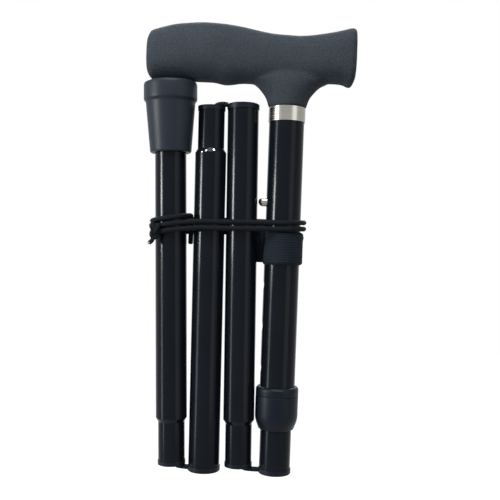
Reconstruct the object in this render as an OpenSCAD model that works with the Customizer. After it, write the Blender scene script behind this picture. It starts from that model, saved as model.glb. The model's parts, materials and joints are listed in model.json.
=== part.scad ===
// Folding walking cane, folded: a tee grip on a height-adjustable shaft, three folding sections
// beside it on an elastic cord, and a strap wound round the bundle.
// Millimetres, +Z up along the shaft, the grip's toe towards +X, the footprint centred on the origin.

/* [Sections] */
// Outside diameter of the folding sections and of the height tube
tube_d = 19; // [17:0.1:22]
// Wall of the folding sections and of the height tube
tube_wall = 1; // [0.8:0.1:1.2]
// Length of the second section from its spigot's end to its mouth
section_len = 220.6; // [212:0.1:224]
// Outside diameter of the drawn-in spigot at the end of each section
spigot_d = 16.2; // [14:0.1:16.5]
// Length of the spigot up to its shoulder
spigot_len = 26; // [20:0.5:32]
// Length of the cone between spigot and full diameter
swage_len = 2.4; // [1.5:0.1:4]
// How far a mouth ring stands proud of its tube, on the radius
lip_proud = 0.4; // [0.2:0.05:0.4]
// Height of a mouth ring
lip_h = 3.2; // [2.6:0.1:5]
// Thickness of a mouth ring over the tube's end face
lip_t = 1.2; // [0.8:0.1:2]
// Thickness of the flange on a spigot's cap
cap_t = 2.6; // [1:0.1:3]
// Length of the cap's plug inside the spigot
cap_plug_len = 8; // [6:0.5:14]

/* [Fold] */
// Distance between the shaft's axis and the second section at the foot
fold_sep_upper = 22.2; // [22.2:0.1:24]
// Distance between the second and third sections at the top
fold_sep_middle = 19.2; // [19.2:0.1:21]
// Distance between the third and bottom sections at the foot
fold_sep_lower = 19.7; // [19.7:0.1:22]
// Height of the second and bottom sections' spigot ends above the foot
fold_recess_low = 3.4; // [3.4:0.1:5]
// Depth of the third section's spigot end below the second section's mouth
fold_recess_top = 2; // [2:0.1:4]
// Lean of the second section away from the shaft, in degrees
second_lean = 1.2; // [1.2:0.05:1.5]
// Lean of the third section, in degrees
third_lean = 0.75; // [0.6:0.05:0.75]
// Lean of the bottom section, in degrees
bottom_lean = 2.2; // [2.2:0.05:2.6]

/* [Shaft] */
// Height of the upper tube's lower end above the foot
upper_tube_foot = 36; // [33:0.5:40]
// Wall of the upper tube
upper_wall = 1.1; // [0.9:0.05:1.4]
// Height of the bright collar ring under the grip
ring_h = 8.7; // [5:0.1:14]
// Wall of the collar ring
ring_wall = 0.5; // [0.3:0.05:1]
// Gap between the grip core's stub and the height tube's bush at the shortest setting
stub_gap = 9.3; // [4:0.1:14]
// Length of the glide bush inside the height tube
bush_len = 9.6; // [6:0.1:12]
// Wall of the glide bush
bush_wall = 1.2; // [0.8:0.1:1.6]
// Number of height settings
hole_count = 5; // [2:1:5]
// Distance of the lowest height hole above the lock collar
hole_foot_gap = 10.3; // [6:0.1:16]

/* [Lock collar] */
// Outside diameter of the lock nut and of the collet's flange
lock_d = 26; // [25:0.1:26]
// Height of the lock nut's lower end above the foot
lock_foot = 27.2; // [24:0.1:29]
// Length of the nut's taper
lock_taper = 6; // [3:0.1:8]
// Height of the joint between the nut and the collet's flange
lock_split = 47.6; // [45:0.1:49]
// Height of the collet's flange
collet_flange_h = 5.4; // [3:0.1:7]
// Outside diameter of the collet's threaded barrel
collet_d = 23.4; // [23:0.1:23.8]

/* [Snap button] */
// Diameter of the snap button
button_d = 5.6; // [4:0.1:6]
// How far the button stands out of the upper tube
button_proud = 4.8; // [3:0.1:4.8]
// Width of the leaf spring behind the button
spring_w = 5; // [4:0.1:6]
// Thickness of the leaf spring
spring_t = 0.6; // [0.4:0.1:0.8]
// Length of the leaf spring's legs
spring_leg = 27; // [20:0.5:34]
// Gap between the leaf spring's legs and the glide bush
spring_gap = 4.65; // [2:0.05:8]

/* [Grip] */
// Length of the grip from heel to toe
grip_length = 126.4; // [110:0.1:135]
// Length of the grip behind the shaft's axis
grip_heel = 86; // [80:0.1:92]
// Height of the grip bar
grip_height = 37; // [30:0.5:42]
// Depth of the grip bar from front to back
grip_depth = 29; // [26:0.5:34]
// Height of the grip bar above the second section's mouth
grip_clear = 11.45; // [11.2:0.05:16]
// Height of the flared neck below the grip bar's underside
neck_h = 12.9; // [12.6:0.1:16]
// Width of the neck where it runs into the bar
neck_w = 54; // [44:0.5:58]
// Depth of the neck where it runs into the bar
neck_depth = 25.8; // [24:0.1:27]
// Wall of the grip round the shoulder of its core
neck_wall = 0.7; // [0.5:0.1:1.5]
// Length of the core's stub inside the upper tube
core_stub_len = 26; // [16:0.5:30]
// Diameter of the bar inside the grip
core_bar_d = 12; // [8:0.5:14]
// Length of the bar inside the grip
core_bar_len = 88; // [60:1:96]
// Diameter of the pin through the core's stub
pin_d = 3; // [2:0.1:4]

/* [Tip] */
// Diameter of the rubber tip's foot
tip_d = 32.6; // [30:0.1:32.6]
// Height of the tip's foot
tip_foot_h = 11; // [8:0.1:12]
// Diameter of the tip's body next to its foot
tip_body_d = 30.2; // [28:0.1:30.4]
// Diameter of the tip's upper end
tip_neck_d = 25; // [23:0.1:27]
// Height of the tip
tip_h = 43; // [38:0.5:50]
// Thickness of the rubber under the tube
tip_floor = 7; // [5:0.1:10]
// Gap between the tip and the underside of the grip
tip_gap = 1.5; // [1.5:0.1:3]
// Thickness of the steel washer inside the tip
washer_t = 1.5; // [1:0.1:2]

/* [Cord and strap] */
// Diameter of the elastic shock cord
cord_d = 3; // [2.4:0.1:3]
// Length of a cord anchor plug
anchor_len = 10; // [6:0.5:16]
// Diameter of a cord knot
knot_d = 7.5; // [6:0.1:9]
// Gap between the upper cord's knot and the leaf spring above it
knot_gap = 19.8; // [4:0.1:30]
// Diameter of the strap cord
strap_d = 3; // [2.4:0.1:3]
// Step between turns of the strap cord
strap_pitch = 3.8; // [3.6:0.1:4.4]
// Width of the webbing band
band_h = 20; // [14:0.5:20]
// Distance of the band's upper edge below the snap button's axis
band_drop = 18; // [12:0.5:24]
// Thickness of the webbing
band_t = 0.9; // [0.6:0.1:1]
// How far the sewn fin of the band stands out of the band
fin_len = 2.6; // [1.5:0.1:2.6]
// Distance of the strap cord's first turn below the band's upper edge
strap_drop = 2.6; // [2.2:0.1:6]

/* [Hidden] */

// Clearances: pressed or glued seats, sliding tubes, the thread of the lock nut, the button's holes
seat_gap = 0.02;
slide_gap = 0.1;
thread_gap = 0.1;
button_gap = 0.25;
strap_gap = 0.5;
cord_joint_gap = 0.3;
cord_hole_gap = 0.4;
notch_gap = 0.6;
cut_over = 1;
half_turn = 180;
$fn = 64;

// Radii of the tubes and of what fits in them
tube_r = tube_d / 2;
tube_bore_r = tube_r - tube_wall;
spigot_r = spigot_d / 2;
spigot_bore_r = spigot_r - tube_wall;
cap_r = tube_bore_r - slide_gap;
lip_r = tube_r + lip_proud;
upper_bore_r = tube_r + slide_gap;
upper_r = upper_bore_r + upper_wall;
ring_r = upper_r + seat_gap + ring_wall;
cord_r = cord_d / 2;
strap_r = strap_d / 2;

// The cord's hole in a spigot cap and its flared entry
cord_hole_r = cord_r + cord_hole_gap;
flare_share = 0.4375;
flare_step = 15;
cap_flare_r = cap_t + flare_share * cap_plug_len;
cap_len = cap_t + cap_plug_len;
notch_w = cord_d + 2 * notch_gap;
notch_h = lip_h + notch_gap;

// Ends of the folded sections as [x, z] from the shaft's foot, with the direction of each axis
shaft_up = [0, 1];
second_up = [-sin(second_lean), cos(second_lean)];
third_down = [sin(third_lean), -cos(third_lean)];
bottom_up = [-sin(bottom_lean), cos(bottom_lean)];
second_end = [-fold_sep_upper, fold_recess_low];
second_mouth_end = second_end + section_len * second_up;
third_end = second_mouth_end - [fold_sep_middle, fold_recess_top];
foot_lift_share = 1.3;
third_foot = foot_lift_share * lip_r * sin(third_lean);
third_len = (third_end[1] - third_foot) / cos(third_lean);
third_mouth_end = third_end + third_len * third_down;
bottom_end = [third_mouth_end[0] - fold_sep_lower, fold_recess_low];

// The grip's bar clears the folded sections, its neck stands on the shaft, and the tip reaches up to it
grip_z = second_mouth_end[1] + grip_clear;
shaft_h = grip_z - neck_h;
grip_clear_share = 0.05;
grip_under_z = grip_z + grip_clear_share * grip_height;
bottom_reach = (grip_under_z - tip_gap - bottom_end[1]) / cos(bottom_lean);
bottom_tube_len = bottom_reach - tip_floor - washer_t;
tip_ground = bottom_end + bottom_reach * bottom_up;

// Inside the shaft, from the grip's core down: the bush, the leaf spring with its button, the cord's knot
height_tube_top = shaft_h - core_stub_len - stub_gap - lip_t;
spring_below_share = 0.75;
spring_seat_share = 1.8;
button_flange_share = 0.8;
spring_face = tube_bore_r - spring_seat_share * spring_t;
spring_foot = height_tube_top - bush_len - spring_gap - spring_leg;
button_z = spring_foot + spring_below_share * spring_leg;
anchor_z = spring_foot - spring_face - knot_gap - knot_d - anchor_len;

// Height holes from the button down to above the lock collar, and the band between them
collet_low = lock_split + thread_gap;
collet_high = collet_low + collet_flange_h;
hole_pitch = (button_z - collet_high - hole_foot_gap) / (hole_count - 1);
band_z = button_z - band_drop - band_h;

// The footprint runs from the tip's outer edge to the grip's toe, and its middle is the origin
grip_toe = grip_length - grip_heel;
footprint_left = min(tip_ground[0] - tip_d / 2 * cos(bottom_lean), -grip_heel);
shaft_x = -(footprint_left + grip_toe) / 2;

// Bar of the grip: [along from the heel, top, underside, depth] as shares of length, height and depth
grip_shares = [
    [0, 0.72, 0.16, 0.7], [0.016, 0.83, 0.08, 0.86], [0.042, 0.87, 0.055, 0.93], [0.127, 0.95, 0.05, 1],
    [0.206, 0.985, 0.05, 1], [0.27, 1, 0.05, 1], [0.324, 0.995, 0.045, 0.99], [0.385, 0.98, 0.01, 0.98],
    [0.457, 0.945, 0.045, 0.96], [0.522, 0.9, 0.045, 0.95], [0.6, 0.855, 0.045, 0.94],
    [0.68, 0.84, 0.045, 0.93], [0.73, 0.835, 0.045, 0.92], [0.8, 0.86, 0.055, 0.91],
    [0.88, 0.91, 0.09, 0.9], [0.94, 0.96, 0.08, 0.88], [0.98, 1, 0.035, 0.84], [1, 0.98, 0.16, 0.7]
];
// Neck of the grip: [height, width, depth], the height as a share of the neck's, the rest beyond the ring
neck_shares = [
    [0, 0, 0], [0.2, 0.045, 0.3], [0.5, 0.14, 0.65], [0.8, 0.33, 0.9], [1.05, 0.54, 1],
    [1.25, 0.84, 0.95], [1.6, 1, 0.6]
];
grip_sides = 24;
grip_power = 2.6;

// Routes of the elastic cord at a fold, as [towards the neighbour, into the tube] from each tube's end
low_mouth_route = [[0, 30], [0, 22], [0, 14], [1.2, 8], [4.2, 3.4], [8, 1.7], [10.5, 1.65]];
top_mouth_route = [[0, 30], [0, 22], [0, 14], [1.2, 8], [4, 3.6], [7.6, 1.4], [10, 0.2]];
cap_route = [[6.5, -1.75], [3.4, -1.1], [1, 1.2], [0.1, 4.2], [0, 7], [0, 9]];
cord_sides = 8;

// The strap cord leaves the band's flap behind the shaft, at these angles and heights, then winds on
strap_starts = [[27, -0.4], [48, 0.1], [70, 0.6], [91, 1.1]];
strap_first_z = band_z + band_h - strap_drop;
strap_turns = 2.5;
strap_lift = 1.7;
strap_slope_share = 0.01;
strap_fall_share = 0.125;
strap_tail_rise_share = 0.3;
strap_sides = 6;
loop_rings = 24;
arc_rings = 8;
run_rings = 4;
// The last turn leaves the winding at the bottom section and hangs down in the gap beside the third one:
// [over from the bottom section's axis, back, down]
strap_tail = [
    [4.7, -11.3, 0], [8.2, -9.6, 0], [10.4, -6, 0], [11.7, -1, 0], [11.7, 2, 0.8], [11.7, 4.2, 3],
    [11.8, 5, 6], [11.8, 5, 10], [11.8, 4.8, 13.5], [11.8, 4.6, 17]
];

// Radii and middles of the winding at the shaft and at the bottom section
strap_mid_x = bottom_end[0] - (strap_first_z - bottom_end[1]) * tan(bottom_lean);
strap_shaft_r = upper_r + strap_gap + strap_r;
strap_bottom_r = tube_r + strap_gap + strap_r;
strap_tangent = acos((strap_bottom_r - strap_shaft_r) / -strap_mid_x);
// From the third section's far side on, the winding falls towards the bottom section
strap_bend_x = third_end[0] + (third_end[1] - strap_first_z) * tan(third_lean) - tube_r;
band_r = upper_r + seat_gap;
strap_start_r = band_r + band_t + cord_joint_gap + strap_r;

// Superellipse of a cross-section, as a pair of shares from -1 to 1
function bulge(value, power) = sign(value) * pow(abs(value), 2 / power);
function bulge_pair(step, power) = [
    bulge(cos(360 * step / grip_sides), power),
    bulge(sin(360 * step / grip_sides), power)
];

// One cross-section of the bar, square to X
function bar_ring(share) = let(
    top = grip_z + share[1] * grip_height,
    low = grip_z + share[2] * grip_height,
    half = share[3] * grip_depth / 2
) [for (step = [0 : grip_sides - 1]) let(pair = bulge_pair(step, grip_power)) [
    share[0] * grip_length - grip_heel,
    half * pair[0],
    (top + low) / 2 + (top - low) / 2 * pair[1]
]];

// One cross-section of the neck, square to Z, round at the ring and broad at the bar
function neck_ring(share) = let(
    start = upper_r + neck_wall,
    half_w = start + share[1] * (neck_w / 2 - start),
    half_d = start + share[2] * (neck_depth / 2 - start)
) [for (step = [0 : grip_sides - 1]) let(pair = bulge_pair(step, 2)) [
    half_w * pair[0],
    half_d * pair[1],
    shaft_h + share[0] * neck_h
]];

// Triangles between rings of equal count, with both ends closed
function skin_faces(rings, sides) = concat(
    [for (r = [0 : rings - 2], s = [0 : sides - 1]) [
        r * sides + s, (r + 1) * sides + s, r * sides + (s + 1) % sides
    ]],
    [for (r = [0 : rings - 2], s = [0 : sides - 1]) [
        r * sides + (s + 1) % sides, (r + 1) * sides + s, (r + 1) * sides + (s + 1) % sides
    ]],
    [for (s = [1 : sides - 2]) [0, s, s + 1]],
    [for (s = [1 : sides - 2]) let(base = (rings - 1) * sides) [base, base + s + 1, base + s]]
);

module skin(rings) {
    points = [for (ring = rings, point = ring) point];
    polyhedron(points, skin_faces(len(rings), len(rings[0])));
}

// Frames carried along a route without twist, and the rings of a round cord on it
function unit(vector) = vector / norm(vector);
function heading(route, i) = unit(route[min(i + 1, len(route) - 1)] - route[max(i - 1, 0)]);
function side_of(route, i, first) = let(
    from = i == 0 ? first : side_of(route, i - 1, first),
    along = heading(route, i)
) unit(from - (from * along) * along);
function cord_ring(route, i, radius, sides, first) = let(
    side = side_of(route, i, first),
    other = cross(heading(route, i), side)
) [for (s = [0 : sides - 1], turn = 360 * s / sides)
    route[i] + radius * (side * cos(turn) + other * sin(turn))];

module cord(route, radius, sides, first) {
    skin([for (i = [0 : len(route) - 1]) cord_ring(route, i, radius, sides, first)]);
}

// Route across a fold: out of one section's mouth and into the next section's cap, in the XZ plane
function at_end(end, inward, across, point) = let(place = end + point[0] * across + point[1] * inward)
    [place[0], 0, place[1]];
function turned(axis) = [axis[1], -axis[0]];
function fold_route(mouth_route, mouth, mouth_in, mouth_across, cap, cap_in, cap_across) = concat(
    [for (point = mouth_route) at_end(mouth, mouth_in, mouth_across, point)],
    [for (point = cap_route) at_end(cap, cap_in, cap_across, point)]
);

// A point of the winding: along the back to the bottom section, then along the front to the shaft
function round_point(middle, radius, angle) = [middle + radius * cos(angle), radius * sin(angle)];
function winding_place(i) = let(
    j = i % loop_rings,
    shaft_back = round_point(0, strap_shaft_r, strap_tangent),
    bottom_back = round_point(strap_mid_x, strap_bottom_r, strap_tangent),
    bottom_front = round_point(strap_mid_x, strap_bottom_r, -strap_tangent),
    shaft_front = round_point(0, strap_shaft_r, -strap_tangent)
) j < run_rings ? shaft_back + (bottom_back - shaft_back) * j / run_rings
    : j < run_rings + arc_rings ? round_point(strap_mid_x, strap_bottom_r,
        strap_tangent + (360 - 2 * strap_tangent) * (j - run_rings) / arc_rings)
    : j < 2 * run_rings + arc_rings ? bottom_front
        + (shaft_front - bottom_front) * (j - run_rings - arc_rings) / run_rings
    : round_point(0, strap_shaft_r, -strap_tangent
        + 2 * strap_tangent * (j - 2 * run_rings - arc_rings) / arc_rings);
function winding_height(place, turns) = strap_first_z + strap_lift + strap_pitch * turns
    + strap_slope_share * place[0] - strap_fall_share * max(0, strap_bend_x - place[0]);
function winding_point(i) = let(place = winding_place(i))
    [place[0], place[1], winding_height(place, (i - 1) / loop_rings)];
function start_point(start) = let(place = round_point(0, strap_start_r, start[0]))
    [place[0], place[1], strap_first_z + start[1]];
function tail_point(i) = let(
    place = [strap_mid_x + strap_tail[i][0], strap_tail[i][1]],
    height = winding_height(place, strap_turns + strap_tail_rise_share * i / loop_rings)
) [place[0], place[1], height - strap_tail[i][2]];
strap_last = strap_turns * loop_rings;
strap_route = concat(
    [for (start = strap_starts) start_point(start)],
    [for (i = [1 : strap_last]) winding_point(i)],
    [for (i = [0 : len(strap_tail) - 1]) tail_point(i)]
);

// Least gap between turns of the strap cord, measured on its route with points added between rings
gap_steps = 3;
strap_fine = [for (i = [0 : len(strap_route) - 2], k = [0 : gap_steps - 1])
    strap_route[i] + (strap_route[i + 1] - strap_route[i]) * k / gap_steps];
strap_least_gap = min([
    for (i = [0 : len(strap_fine) - 1])
        for (j = [i + loop_rings : 1 : len(strap_fine) - 1]) norm(strap_fine[i] - strap_fine[j])
]) - strap_d;
echo(strap_least_gap_mm = strap_least_gap);

// Everything is drawn from the shaft's foot, and a section from its spigot's end
module at_shaft() translate([shaft_x, 0, 0]) children();
module at_section(end, lean) at_shaft() translate([end[0], 0, end[1]]) rotate([0, lean, 0]) children();
module at_second() at_section(second_end, -second_lean) children();
module at_third() at_section(third_end, half_turn - third_lean) children();
module at_bottom() at_section(bottom_end, -bottom_lean) children();

// A round wall between two radii
module pipe(outer, inner, low, high) {
    rotate_extrude() translate([inner, low]) square([outer - inner, high - low]);
}

// Cylinder along Z between two heights
module rod(radius, low, high) translate([0, 0, low]) cylinder(r = radius, h = high - low);

// Cord's notch in a mouth, cut on one side up to the tube's end
module mouth_notch(end, inward, side) {
    depth = tube_r - cord_d;
    reach = lip_r + cut_over - depth;
    translate([side * (depth + reach / 2), 0, end + inward * (notch_h / 2 - cut_over / 2)])
        cube([reach, notch_w, notch_h + cut_over], center = true);
}

// Ring over the end of a tube, which keeps the cord off the metal
module mouth_ring(end, inward, side) {
    difference() {
        rotate_extrude() polygon([
            [tube_bore_r, end], [lip_r - lip_proud, end], [lip_r, end + inward * lip_proud],
            [lip_r, end + inward * lip_h], [tube_r + seat_gap, end + inward * lip_h],
            [tube_r + seat_gap, end + inward * lip_t], [tube_bore_r, end + inward * lip_t]
        ]);
        mouth_notch(end, inward, side);
    }
}

// Tube with a drawn-in spigot at its foot
module swaged_tube(length) {
    rotate_extrude() polygon([
        [spigot_bore_r, cap_t], [spigot_r, cap_t], [spigot_r, spigot_len], [tube_r, spigot_len + swage_len],
        [tube_r, length], [tube_bore_r, length], [tube_bore_r, spigot_len + swage_len],
        [spigot_bore_r, spigot_len]
    ]);
}

// Plug in a spigot's end with a flared hole for the cord
module spigot_cap() {
    flare = [for (angle = [0 : flare_step : 90]) [
        cord_hole_r + cap_flare_r * (1 - sin(angle)), cap_flare_r * (1 - cos(angle))
    ]];
    rotate_extrude() polygon(concat(
        flare,
        [[cord_hole_r, cap_len], [spigot_bore_r - seat_gap, cap_len], [spigot_bore_r - seat_gap, cap_t],
        [cap_r, cap_t], [cap_r, 0]]
    ));
}

// Plug that holds the cord's knot
module cord_anchor() pipe(tube_bore_r - seat_gap, cord_hole_r, 0, anchor_len);

// Grip

module handle_grip() {
    color("darkslategray") at_shaft() difference() {
        union() {
            skin([for (share = grip_shares) bar_ring(share)]);
            skin([for (share = neck_shares) neck_ring(share)]);
        }
        core_shape(seat_gap, cut_over);
    }
}

// The core's shoulder stands on the tube, and its bar lies in the grip
core_bar_height_share = 0.45;
core_bar_back_share = 0.7;
core_bar_z = grip_z + core_bar_height_share * grip_height;
core_bar_back = core_bar_back_share * core_bar_len;
module core_shape(gap, below) {
    rod(upper_r + gap, shaft_h - below, core_bar_z);
    translate([-core_bar_back, 0, core_bar_z]) rotate([0, 90, 0])
        cylinder(r = core_bar_d / 2 + gap, h = core_bar_len);
}

module handle_core() {
    color("dimgray") at_shaft() difference() {
        union() {
            core_shape(0, 0);
            rod(upper_bore_r - seat_gap, shaft_h - core_stub_len, shaft_h + neck_h / 2);
        }
        pin_hole(seat_gap);
    }
}

module pin_hole(gap) {
    translate([0, 0, shaft_h - ring_h / 2]) rotate([90, 0, 0])
        cylinder(r = pin_d / 2 + gap, h = 2 * (upper_r + cut_over), center = true);
}

module handle_pin() {
    color("silver") at_shaft() intersection() {
        pin_hole(0);
        rod(upper_r, shaft_h - ring_h, shaft_h);
    }
}

module collar_ring() {
    color("silver") at_shaft() pipe(ring_r, upper_r + seat_gap, shaft_h - ring_h, shaft_h);
}

// Shaft

module button_holes(first, count) {
    for (i = [0 : count - 1]) translate([0, 0, first - i * hole_pitch]) rotate([0, -90, 0])
        cylinder(r = button_d / 2 + button_gap, h = upper_r + cut_over);
}

module upper_tube() {
    color("black") at_shaft() difference() {
        pipe(upper_r, upper_bore_r, upper_tube_foot, shaft_h);
        button_holes(button_z, hole_count);
        pin_hole(seat_gap);
    }
}

module lock_collet() {
    chamfer = lock_d / 2 - upper_r - upper_wall;
    barrel_low = lock_foot + lock_taper;
    color("dimgray") at_shaft() rotate_extrude() polygon([
        [upper_r + seat_gap, collet_high], [upper_r + upper_wall, collet_high],
        [lock_d / 2, collet_high - chamfer], [lock_d / 2, collet_low], [collet_d / 2, collet_low],
        [collet_d / 2, barrel_low], [upper_bore_r, barrel_low],
        [upper_bore_r, upper_tube_foot - seat_gap], [upper_r + seat_gap, upper_tube_foot - seat_gap]
    ]);
}

module lock_nut() {
    nut_bore_r = collet_d / 2 + thread_gap;
    nut_floor = lock_foot + lock_taper - thread_gap;
    color("dimgray") at_shaft() rotate_extrude() polygon([
        [upper_bore_r + slide_gap, lock_foot], [upper_r, lock_foot],
        [lock_d / 2, lock_foot + lock_taper], [lock_d / 2, lock_split],
        [nut_bore_r, lock_split], [nut_bore_r, nut_floor], [upper_bore_r + slide_gap, nut_floor]
    ]);
}

module height_tube() {
    color("black") at_shaft() difference() {
        pipe(tube_r, tube_bore_r, lip_t, height_tube_top);
        button_holes(button_z, 1);
        mouth_notch(0, 1, -1);
    }
}

module height_tube_mouth() color("dimgray") at_shaft() mouth_ring(0, 1, -1);

module glide_bush() {
    bush_r = tube_r + slide_gap / 2;
    bush_bore_r = tube_bore_r - bush_wall;
    color("dimgray") at_shaft() rotate_extrude() polygon([
        [bush_bore_r, height_tube_top + lip_t], [bush_r, height_tube_top + lip_t],
        [bush_r, height_tube_top], [tube_bore_r - seat_gap, height_tube_top],
        [tube_bore_r - seat_gap, height_tube_top - bush_len], [bush_bore_r, height_tube_top - bush_len]
    ]);
}

// Snap button: the leaf spring's outer face carries the button's flange inside the height tube
button_flange_t = button_flange_share * spring_t;

module button_spring() {
    bend_r = spring_face - spring_t / 2;
    color("lightsteelblue") at_shaft() rotate([90, 0, 0]) translate([0, 0, -spring_w / 2]) {
        for (side = [-1, 1]) translate([side * bend_r - spring_t / 2, spring_foot])
            linear_extrude(spring_w) square([spring_t, spring_leg]);
        difference() {
            translate([0, spring_foot, 0]) cylinder(r = spring_face, h = spring_w);
            translate([0, spring_foot, -cut_over])
                cylinder(r = spring_face - spring_t, h = spring_w + 2 * cut_over);
            translate([-tube_r, spring_foot, -cut_over]) cube([tube_d, tube_r, spring_w + 2 * cut_over]);
        }
    }
}

module snap_button() {
    dome_r = button_d / 2;
    shank = upper_r + button_proud - dome_r - spring_face;
    color("silver") at_shaft() translate([-spring_face, 0, button_z]) rotate([0, -90, 0]) {
        cylinder(r = dome_r + button_flange_t, h = button_flange_t);
        cylinder(r = dome_r, h = shank);
        translate([0, 0, shank]) sphere(r = dome_r);
    }
}

module upper_cord_anchor() color("dimgray") at_shaft() translate([0, 0, anchor_z]) cord_anchor();

module shock_cord_upper() {
    knot_z = anchor_z + anchor_len + knot_d / 2;
    color("#1c1c1f") at_shaft() {
        rod(cord_r, low_mouth_route[0][1] + cord_joint_gap, knot_z);
        translate([0, 0, knot_z]) sphere(d = knot_d);
    }
}

// Folding sections

module second_tube() {
    color("black") at_second() difference() {
        swaged_tube(section_len - lip_t);
        mouth_notch(section_len, -1, -1);
    }
}

module second_spigot_cap() color("dimgray") at_second() spigot_cap();

module second_mouth() color("dimgray") at_second() mouth_ring(section_len, -1, -1);

module shock_cord_second() {
    color("#1c1c1f") at_second()
        rod(cord_r, cap_len + cord_joint_gap, section_len - top_mouth_route[0][1] - cord_joint_gap);
}

module third_tube() {
    color("black") at_third() difference() {
        swaged_tube(third_len - lip_t);
        mouth_notch(third_len, -1, 1);
    }
}

module third_spigot_cap() color("dimgray") at_third() spigot_cap();

module third_mouth() color("dimgray") at_third() mouth_ring(third_len, -1, 1);

module shock_cord_third() {
    color("#1c1c1f") at_third()
        rod(cord_r, cap_len + cord_joint_gap, third_len - low_mouth_route[0][1] - cord_joint_gap);
}

module bottom_tube() color("black") at_bottom() swaged_tube(bottom_tube_len);

module bottom_spigot_cap() color("dimgray") at_bottom() spigot_cap();

lower_anchor_w = bottom_tube_len - tip_h - anchor_len;

module lower_cord_anchor() {
    color("dimgray") at_bottom() translate([0, 0, lower_anchor_w]) cord_anchor();
}

module shock_cord_bottom() {
    knot_w = lower_anchor_w + anchor_len + knot_d / 2;
    color("#1c1c1f") at_bottom() {
        rod(cord_r, cap_len + cord_joint_gap, knot_w);
        translate([0, 0, knot_w]) sphere(d = knot_d);
    }
}

// Elastic cord across the folds

module shock_cord_upper_fold() {
    color("#1c1c1f") at_shaft() cord(
        fold_route(low_mouth_route, [0, 0], shaft_up, -turned(shaft_up),
            second_end, second_up, turned(second_up)),
        cord_r, cord_sides, [0, 1, 0]
    );
}

module shock_cord_middle_fold() {
    color("#1c1c1f") at_shaft() cord(
        fold_route(top_mouth_route, second_mouth_end, -second_up, -turned(second_up),
            third_end, third_down, -turned(third_down)),
        cord_r, cord_sides, [0, 1, 0]
    );
}

module shock_cord_lower_fold() {
    color("#1c1c1f") at_shaft() cord(
        fold_route(low_mouth_route, third_mouth_end, -third_down, turned(third_down),
            bottom_end, bottom_up, turned(bottom_up)),
        cord_r, cord_sides, [0, 1, 0]
    );
}

// Rubber tip, drawn from its ground face towards the tube, with rings of tread in that face
tread_share = 0.05;
tread_pitch_share = 2.4;
tread_rings = 3;
round_share = 0.3;

module rubber_tip() {
    bore_r = tube_r + seat_gap;
    step_h = (tip_d - tip_body_d) / 2;
    round_in = round_share * step_h;
    tread_w = tread_share * tip_d;
    tread_pitch = tread_pitch_share * tread_w;
    color("#202022") at_bottom() translate([0, 0, bottom_reach]) mirror([0, 0, 1]) difference() {
        rotate_extrude() polygon([
            [0, 0], [tip_d / 2 - step_h, 0], [tip_d / 2 - round_in, round_in], [tip_d / 2, step_h],
            [tip_d / 2, tip_foot_h], [tip_body_d / 2, tip_foot_h + step_h], [tip_neck_d / 2, tip_h],
            [bore_r, tip_h], [bore_r, tip_floor], [0, tip_floor]
        ]);
        for (ring = [1 : tread_rings]) translate([0, 0, -cut_over])
            pipe(ring * tread_pitch, ring * tread_pitch - tread_w, 0, tread_w + cut_over);
    }
}

module tip_washer() {
    color("silver") at_bottom() rod(tube_r - seat_gap, bottom_tube_len, bottom_tube_len + washer_t);
}

// Strap: the webbing goes round the shaft, its end overlaps it in front, and it is sewn up in a fin
flap_share = 1.5;

module strap_band() {
    flap_from = 200;
    flap_end_gap = 2;
    flap_turn = 360 + strap_starts[0][0] - flap_end_gap - flap_from;
    flap_t = flap_share * band_t;
    fin_root = band_r + band_t / 2;
    color("#18181b") at_shaft() {
        pipe(band_r + band_t, band_r, band_z, band_z + band_h);
        rotate([0, 0, flap_from]) rotate_extrude(angle = flap_turn)
            translate([fin_root, band_z + band_t / 2]) square([flap_t, band_h - band_t]);
        translate([-fin_root - fin_len, -band_t, band_z + band_t])
            cube([fin_len, 2 * band_t, band_h - 2 * band_t]);
    }
}

module strap_cord() color("#1c1c1f") at_shaft() cord(strap_route, strap_r, strap_sides, [1, 0, 0]);

handle_grip();
handle_core();
handle_pin();
collar_ring();
upper_tube();
lock_collet();
lock_nut();
height_tube();
glide_bush();
button_spring();
snap_button();
upper_cord_anchor();
height_tube_mouth();
shock_cord_upper();
shock_cord_upper_fold();
second_tube();
second_spigot_cap();
second_mouth();
shock_cord_second();
shock_cord_middle_fold();
third_tube();
third_spigot_cap();
third_mouth();
shock_cord_third();
shock_cord_lower_fold();
bottom_tube();
bottom_spigot_cap();
shock_cord_bottom();
lower_cord_anchor();
rubber_tip();
tip_washer();
strap_band();
strap_cord();
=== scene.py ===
"""Looks of the folded walking cane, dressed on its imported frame."""
import json
import math

import bmesh
import bpy
from mathutils import Matrix, Vector


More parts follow.
